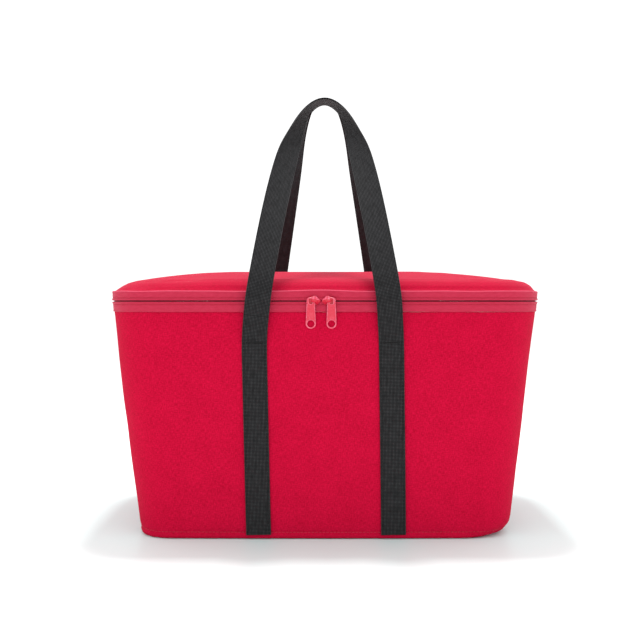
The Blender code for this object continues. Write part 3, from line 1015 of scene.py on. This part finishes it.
def build_pull(hand):
    """The tab, hung from its crown: a plate with a raised rim along every edge."""
    bm = pull_plate()
    for outline in (pull_outline(0.00042), pull_eye(0.00036), pull_hole(0.00040)):
        add_rim(bm, outline)
    pivot = Matrix.Translation(JOINTS[f"pull_{hand}_swing"]["pos_m"])
    upright = Matrix.Rotation(PULL_TILT, 4, "X") @ Matrix.Rotation(math.pi / 2, 4, "X")
    bmesh.ops.transform(bm, matrix=pivot @ upright, verts=bm.verts)
    node = f"pull_{hand}"
    tab = finish_piece(f"pull_tab_{hand}", bm, PULL_FACE, node, (node,), 50)
    # The second slot is the paler enamel of the rims: a painted highlight.
    tab.data.materials.append(PAINTED_HIGHLIGHT_ENAMEL)


# ---- lid

# The lid's outer surface as (inset from the outline, height above the zip line).
LID_PROFILE = (
    (0.0000, 0.0093), (0.0025, 0.0106), (0.0060, 0.0132), (0.0100, 0.0162),
    (0.0155, 0.0190), (0.0240, 0.0214), (0.0400, 0.0240), (0.0620, 0.0274),
    (0.0900, 0.0312), (0.1180, 0.0332),
)
LID_FOOT = 0.0052
LID_SKIN = 0.0006
LID_SWELL = 0.0012
LID_PRESSURE = 3.0
LID_FRAMES = 14


def lid_shoulder(x, inset):
    """How much fuller the pad's edge is than the plain profile: less at the left end."""
    share = 0.45 + 0.55 * smooth((x / TOP[0] + 0.95) / 0.5)
    return 0.0042 * share * smooth(inset / 0.005) * (1 - smooth((inset - 0.010) / 0.024))


def close_across(bm, ring):
    """Fills a ring over the whole outline with strips from the front to the back."""
    front, back = halves(ring)
    back.reverse()
    for i in range(len(front) - 1):
        corners = (front[i], front[i + 1], back[i + 1], back[i])
        bm.faces.new(list(dict.fromkeys(corners)))


def lid_form():
    """A closed form under the lid's cover, a little smaller than the finished pad, and the
    number of its points that lie below the seam."""
    low = [(0.1245, LID_FOOT), (0.0800, LID_FOOT), (0.0300, LID_FOOT), (0.0060, LID_FOOT),
           (0.0014, LID_FOOT), (0.0004, LID_FOOT + 0.0010), (0.0003, 0.0075)]
    top = [(0.0003, 0.0090)]
    for inset, rise in curve_through(LID_PROFILE, 3):
        if inset > 0.0005:
            top.append((inset, rise - 0.0014 * smooth(inset / 0.02)))
    rows = []
    for inset, rise in low + top:
        row = []
        for station in WHOLE:
            place = outline_point(station, inset, ZIP_Z)
            fuller = lid_shoulder(place.x, inset) if rise > 0.0092 else 0
            row.append(place + UP * (rise + fuller))
        rows.append(row)
    bm = bmesh.new()
    grid = loft(bm, rows, caps=False)
    bm.faces.new(grid[0])
    close_across(bm, grid[-1])
    bmesh.ops.recalc_face_normals(bm, faces=bm.faces)
    return new_object("lid_form", mesh_of("lid_form", bm)), len(low) * len(WHOLE)


def bake(obj):
    """Applies an object's modifiers."""
    mesh = evaluated_mesh(obj)
    obj.modifiers.clear()
    obj.data = mesh


def puff(obj, pinned, pressure, frames, cap):
    """Blows a closed cloth up from within, with its pinned points held, and caps the movement."""
    start = [vert.co.copy() for vert in obj.data.vertices]
    group = obj.vertex_groups.new(name="pinned")
    group.add(pinned, 1.0, "REPLACE")
    cloth = obj.modifiers.new("cloth", "CLOTH")
    cloth.settings.mass = 0.002
    cloth.settings.use_pressure = True
    cloth.settings.uniform_pressure_force = pressure
    cloth.settings.effector_weights.gravity = 0
    cloth.settings.vertex_group_mass = "pinned"
    cloth.settings.quality = 5
    for frame_number in range(1, frames + 1):
        bpy.context.scene.frame_set(frame_number)
    bake(obj)
    obj.vertex_groups.clear()
    for vert, place in zip(obj.data.vertices, start):
        move = vert.co - place
        vert.co = place + move * min(1.0, cap / max(move.length, 1e-9))
    bpy.context.scene.frame_set(1)


def lid_surface():
    """The cover's upper surface: the form blown up as cloth, without its hidden underside."""
    pad, hidden = lid_form()
    held = [v.index for v in pad.data.vertices if v.index < hidden or v.co.z < ZIP_Z + 0.0102]
    puff(pad, held, LID_PRESSURE, LID_FRAMES, LID_SWELL)
    bm = bmesh.new()
    bm.from_mesh(pad.data)
    keep_from = hidden - len(WHOLE)
    under = [face for face in bm.faces if min(vert.index for vert in face.verts) < keep_from]
    bmesh.ops.delete(bm, geom=under, context="FACES")
    bm.to_mesh(pad.data)
    bm.free()
    finer = pad.modifiers.new("finer", "SUBSURF")
    finer.levels = finer.render_levels = 1
    bake(pad)
    bm = bmesh.new()
    bm.from_mesh(pad.data)
    bpy.data.objects.remove(pad)
    return bm


def soften_lid(bm):
    """Adds the slight unevenness of a soft pad, and lifts the cover clear of its foam."""
    bm.normal_update()
    foam = BVHTree.FromObject(frame["nodes"]["lid_foam"], bpy.context.evaluated_depsgraph_get())
    for vert in bm.verts:
        soft = noise.noise(vert.co * 16) * 0.0007 + noise.noise(vert.co * 42) * 0.0002
        away = vert.normal if vert.co.z < ZIP_Z + 0.021 else UP
        vert.co += away * soft * smooth((vert.co.z - ZIP_Z - 0.0095) / 0.006)
        found = foam.ray_cast(Vector((vert.co.x, vert.co.y, 1)), -UP)[0]
        if found:
            vert.co.z = max(vert.co.z, found.z + LID_SKIN + 0.0003)


def build_lid():
    """The lid's padded cover: a skin of the surface's own thickness, over the foam."""
    bm = lid_surface()
    soften_lid(bm)
    bm.normal_update()
    under_side = {vert: bm.verts.new(vert.co - vert.normal * LID_SKIN) for vert in list(bm.verts)}
    rim = [edge for edge in bm.edges if edge.is_boundary]
    for face in list(bm.faces):
        bm.faces.new([under_side[vert] for vert in reversed(face.verts)])
    for edge in rim:
        one, two = edge.verts
        bm.faces.new((one, two, under_side[two], under_side[one]))
    flat_metres(bm, lambda place: (place.x, place.y + place.z))
    # The cover takes the lid's copy of the fabric, with its painted sheen.
    piece = finish_piece("lid_cover", bm, RED_TOP_PAINTED_SHEEN, "lid", ("lid_panel",), 60)
    build_lid_piping()


def build_ring_piece(name, rows, pitch, material, body, replaced=()):
    """A piece that runs right round the bag, from one section for each place on the outline."""
    girth = lengths([row[0] for row in rows])
    bm = bmesh.new()
    loft(bm, rows, caps=False, metres=lambda row, column: (girth[row], column * pitch))
    bmesh.ops.remove_doubles(bm, verts=bm.verts, dist=1e-6)
    finish_piece(name, bm, material, body, replaced)


def build_lid_piping():
    """The turned edge between the lid's cover and the tape: a thin bead that catches the light, in a paler
    tape that paints a highlight on it.
    """
    rows = []
    for station in WHOLE + WHOLE[:1]:
        place = outline_point(station, 0, ZIP_Z)
        up, out = tape_ripple(place, 1)
        centre = place + outward(station) * (0.0003 + out) + UP * (0.0096 + up)
        rows.append(oval(centre, outward(station) * 0.0008, UP * 0.0006, 8))
    build_ring_piece("lid_piping", rows, 0.0005, PIPING_PAINTED_HIGHLIGHT, "lid")


# ---- lining

FOAM_INSET = 0.0011
LINER_OUT = 0.0064
LINER_IN = 0.0069
LINER_TURN = 0.009
FOAM_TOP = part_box("foam_front")[1].z
LINER_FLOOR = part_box("liner")[0].z


def crumple(point):
    """Shallow folds in the foil, as a distance into the bag."""
    long_folds = abs(noise.noise(Vector((point.x * 12, point.y * 12, point.z * 5))))
    small_folds = abs(noise.noise(point * 34 + Vector((4, 9, 2))))
    return 0.0016 * (1 - 2.2 * long_folds) ** 2 * 0.8 + 0.0007 * (1 - 2 * small_folds) ** 2


def lining(name, profile, node):
    """A foil skin through (inset, z, inward direction in degrees: 0 sideways, 90 up), rim last."""
    outer, inner = [], []
    for inset, z, tilt in profile:
        lean = math.radians(tilt)
        one, two = [], []
        for station in WHOLE:
            place = outline_point(station, inset, z)
            inward = UP * math.sin(lean) - outward(station) * math.cos(lean)
            fold = max(crumple(place), 0.0)
            one.append(place + inward * fold * 0.9)
            two.append(place + inward * (fold + LINER_IN - LINER_OUT))
        outer.append(one)
        inner.append(two)
    finish_piece(name, lofted(outer + inner[::-1]), FOIL, frame_body(node), (node,))


def frame_body(node):
    return frame["nodes"][node]["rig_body"]


def build_lining():
    tub = [(inset, LINER_FLOOR, 90) for inset in (0.092, 0.070, 0.050, 0.034)]
    for t in shares(6):
        angle = math.radians(90 * t)
        inset = LINER_OUT + LINER_TURN * (1 - math.sin(angle)) + 0.0006
        tub.append((inset, LINER_FLOOR + LINER_TURN * (1 - math.cos(angle)), 90 - 90 * t))
    for t in shares(29)[1:]:
        tub.append((LINER_OUT, mix(LINER_FLOOR + LINER_TURN, FOAM_TOP, t), 0))
    lining("tub_lining", tub, "liner")
    lid = []
    for inset, rise in reversed(curve_through(LID_PROFILE, 2)):
        turn = math.pi / 2 * min(inset / 0.0155, 1.0)
        far = inset + LINER_OUT * math.cos(turn)
        if far < 0.112:
            lid.append((far, ZIP_Z + rise - LINER_OUT * math.sin(turn), -math.degrees(turn)))
    lid.append((LINER_OUT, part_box("lid_liner")[0].z, 0))
    lining("lid_lining", lid, "lid_liner")
    build_bindings()


def build_bindings():
    """Bias binding over the tub's mouth and the lid's rim, with a stitched flap on the lining."""
    inner = LINER_IN + 0.0012
    for name, node, reach in (("mouth_bias", "mouth_binding", -0.0070), ("lid_bias", "lid_binding", 0.0062)):
        low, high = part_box(node)
        base, top = (low.z, high.z) if reach < 0 else (high.z, low.z)
        section = ((FOAM_INSET, base), (FOAM_INSET, mix(base, top, 0.6)), (FOAM_INSET + 0.0008, top),
                   (inner - 0.0010, top), (inner - 0.0001, mix(base, top, 0.5)), (inner, base + reach * 0.3),
                   (inner, base + reach), (inner - 0.0006, base + reach), (inner - 0.0007, base),
                   (inner - 0.0010, base))
        rows = [[outline_point(station, inset, z) for inset, z in section] for station in WHOLE + WHOLE[:1]]
        build_ring_piece(name, rows, 0.0012, BINDING, frame_body(node), (node,))


# ---- straps and handles

def bend_y(z):
    foot = section_at(BEND_Z[0])[1] + 0.0006
    return foot + (z - BEND_Z[0]) * math.tan(BEND_LEAN)


def bezier(t, controls):
    weights = ((1 - t) ** 3, 3 * (1 - t) ** 2 * t, 3 * (1 - t) * t * t, t ** 3)
    return sum((weight * point for weight, point in zip(weights, controls)), Vector())


def leg_line(side_x, side_y, tail):
    """(middle of the thickness, width direction) from a strap's foot to the handle's apex."""
    foot_x, top_x, handle_x = LEG_X[tail]
    leg = []
    for t in shares(60):
        x, z = mix(foot_x, top_x, t), mix(STRAP_FOOT_Z, SEWN_TOP_Z, t)
        leg.append((Vector((side_x * x, side_y * (panel_y(x, z) + 0.0004 + STRAP_THICK / 2), z)), 0.0))
    for t in shares(15):
        x, z = mix(top_x - 0.0004, handle_x + 0.0004, t), mix(*BEND_Z, t)
        leg.append((Vector((side_x * x, side_y * (bend_y(z) + STRAP_THICK / 2), z)), 0.0))
    foot = Vector((side_x * handle_x, side_y * (bend_y(HANDLE_FOOT_Z) + STRAP_THICK / 2), HANDLE_FOOT_Z))
    slope_x, slope_y = HANDLE_SLOPES
    rise = Vector((-side_x * slope_x, -side_y * slope_y, 1)) * HANDLE_RISE
    apex = Vector((0, side_y * HANDLE_APEX_Y, APEX_Z[side_y]))
    shoulder = apex + Vector((side_x * HANDLE_SHOULDER_X, 0, 0))
    leg += [(bezier(t, (foot, foot + rise, shoulder, apex)), t) for t in shares(96)]
    made = []
    for point, t in leg:
        turn = HANDLE_TURN * smooth(t)
        made.append((point, Vector((-side_x * math.cos(turn), -side_y * math.sin(turn), 0))))
    return made


def strap_stations(side_y, face):
    """The whole webbing, from the left foot over the apex to the right foot, with soft bends."""
    left = leg_line(-1, side_y, f"{face}_left")
    right = leg_line(1, side_y, f"{face}_right")
    whole = left + right[-2::-1]
    made = []
    for i, (_, across) in enumerate(whole):
        reach = min(5, i, len(whole) - 1 - i)
        window = [point for point, _ in whole[i - reach:i + reach + 1]]
        made.append((sum(window, Vector()) / len(window), across))
    return made


STRAP_STEP = 0.0020
TACK_STITCHES = 30
# Across the webbing: (place from edge to edge, thickness share), thicker at the selvedges.
STRAP_PLACES = (-1, -0.97, -0.88, -0.8, -0.5, -0.2, 0.2, 0.5, 0.8, 0.88, 0.97, 1)
STRAP_SECTION = tuple((u, 1.0 if abs(u) > 0.9 else 0.84) for u in STRAP_PLACES)


def ribbon(name, stations, start_length, replaced):
    middles = [middle for middle, _ in stations]
    run = lengths(middles)
    rows = []
    for i, (middle, across) in enumerate(stations):
        before, after = middles[max(i - 1, 0)], middles[min(i + 1, len(middles) - 1)]
        tangent = (after - before).normalized()
        square = 1 - smooth((abs(across.y) - 0.5) / 0.4)
        across = (across - across.dot(tangent) * tangent * square).normalized()
        face = across.cross(tangent).normalized()
        front, rear = [], []
        for u, share in STRAP_SECTION:
            rise = face * (STRAP_THICK / 2 * share * (0.45 if abs(u) == 1 else 1.0))
            front.append(middle + across * (u * STRAP_HALF) + rise)
            rear.append(middle + across * (u * STRAP_HALF) - rise)
        rows.append(front + rear[::-1])

    def metres(row, column):
        place = STRAP_SECTION[there_and_back(column, len(STRAP_SECTION))][0]
        return place * STRAP_HALF, start_length + run[row]

    return finish_piece(name, lofted(rows, metres), WEBBING, None, replaced)


def resample_stations(stations, step):
    run = lengths([middle for middle, _ in stations])
    made = []
    for at, t in even_places(run, round(run[-1] / step)):
        (one, across_one), (two, across_two) = stations[at], stations[at + 1]
        made.append((one.lerp(two, t), across_one.lerp(across_two, t).normalized()))
    return made


def split_at(stations, z):
    """The left run below z, the middle above it, and the right run below it."""
    first = next(i for i, (point, _) in enumerate(stations) if point.z >= z)
    last = next(i for i in range(len(stations) - 1, 0, -1) if stations[i][0].z >= z)
    return stations[:first + 1], stations[first:last + 1], stations[last:]


# Where each strip of webbing starts on the cloth, so that their yarns differ.
WEAVE_START = {"left": 0.0, "top": 0.4, "right": 0.9}


def build_straps():
    for side_y, face in FACES:
        stations = resample_stations(strap_stations(side_y, face), STRAP_STEP)
        left, top, right = split_at(stations, sum(BEND_Z) / 2)
        handle = f"handle_{face}"
        for hand, run in (("left", left), ("right", right)):
            tail = f"{face}_{hand}"
            nodes = (f"strap_{tail}", f"strap_bend_{tail}")
            piece = ribbon(f"sewn_strap_{tail}", run, WEAVE_START[hand], nodes)
            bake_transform(piece)
            build_strap_stitches(tail, run, side_y)
        piece = ribbon(f"{handle}_webbing", top, WEAVE_START["top"], (handle,))
        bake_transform(piece)


def build_strap_stitches(tail, run, side_y):
    """A row of stitches down both edges of the sewn run, and the bar tack across its top."""
    sewn = [station for station in run if STRAP_FOOT_Z + 0.002 < station[0].z < SEWN_TOP_Z - 0.001]
    normal = Vector((0, side_y, 0))
    for edge, letter in ((-1, "a"), (1, "b")):
        line = []
        for middle, across in sewn:
            aside = across.normalized() * (edge * (STRAP_HALF - 0.0022))
            line.append(middle + aside + normal * (STRAP_THICK * 0.44))
        size = (0.0028, 0.0008, 0.00022)
        stitch_row(f"strap_{tail}_edge_{letter}", line, normal, size=size, thread=BLACK_THREAD)
    build_bar_tack(tail, max(sewn, key=lambda station: station[0].z)[0], side_y)


def build_bar_tack(tail, top, side_y):
    """A dense zigzag of thread across the webbing."""
    bm = bmesh.new()
    z = top.z - 0.0016
    for i in range(TACK_STITCHES):
        x = top.x + mix(-0.0085, 0.0085, (i + 0.5) / TACK_STITCHES)
        lean = 0.0003 * (-1) ** i
        y = side_y * (panel_y(x, z) + 0.0006 + STRAP_THICK)
        rings = []
        for t, rise in ((-1, -0.0004), (-0.8, 0.0002), (0, 0.00045), (0.8, 0.0002), (1, -0.0004)):
            at = Vector((x + lean * t, y + side_y * rise, z + 0.0011 * t))
            rings.append(oval(at, Vector((0.00034, 0, 0)), Vector((0, side_y * 0.00028, 0)), 5))
        loft(bm, rings)
    finish_piece(f"bar_tack_{tail}", bm, BLACK_THREAD, "root", (f"stitch_bar_{tail}",))


# ---- the rest of the frame's own nodes

def dress_nodes():
    """Gives the foam and the board, which are the frame's own nodes, their materials."""
    for name, node in frame["nodes"].items():
        if "foam" in name or name == "base_board":
            node.data.materials.clear()
            node.data.materials.append(FOAM if "foam" in name else BOARD)


build_stage()
build_tub()
build_zip()
build_hinge()
build_zip_ends()
for side, hand in SIDES:
    build_slider(side, hand)
    build_pull(hand)
build_lid()
build_lining()
build_straps()
dress_nodes()

bpy.context.view_layer.update()
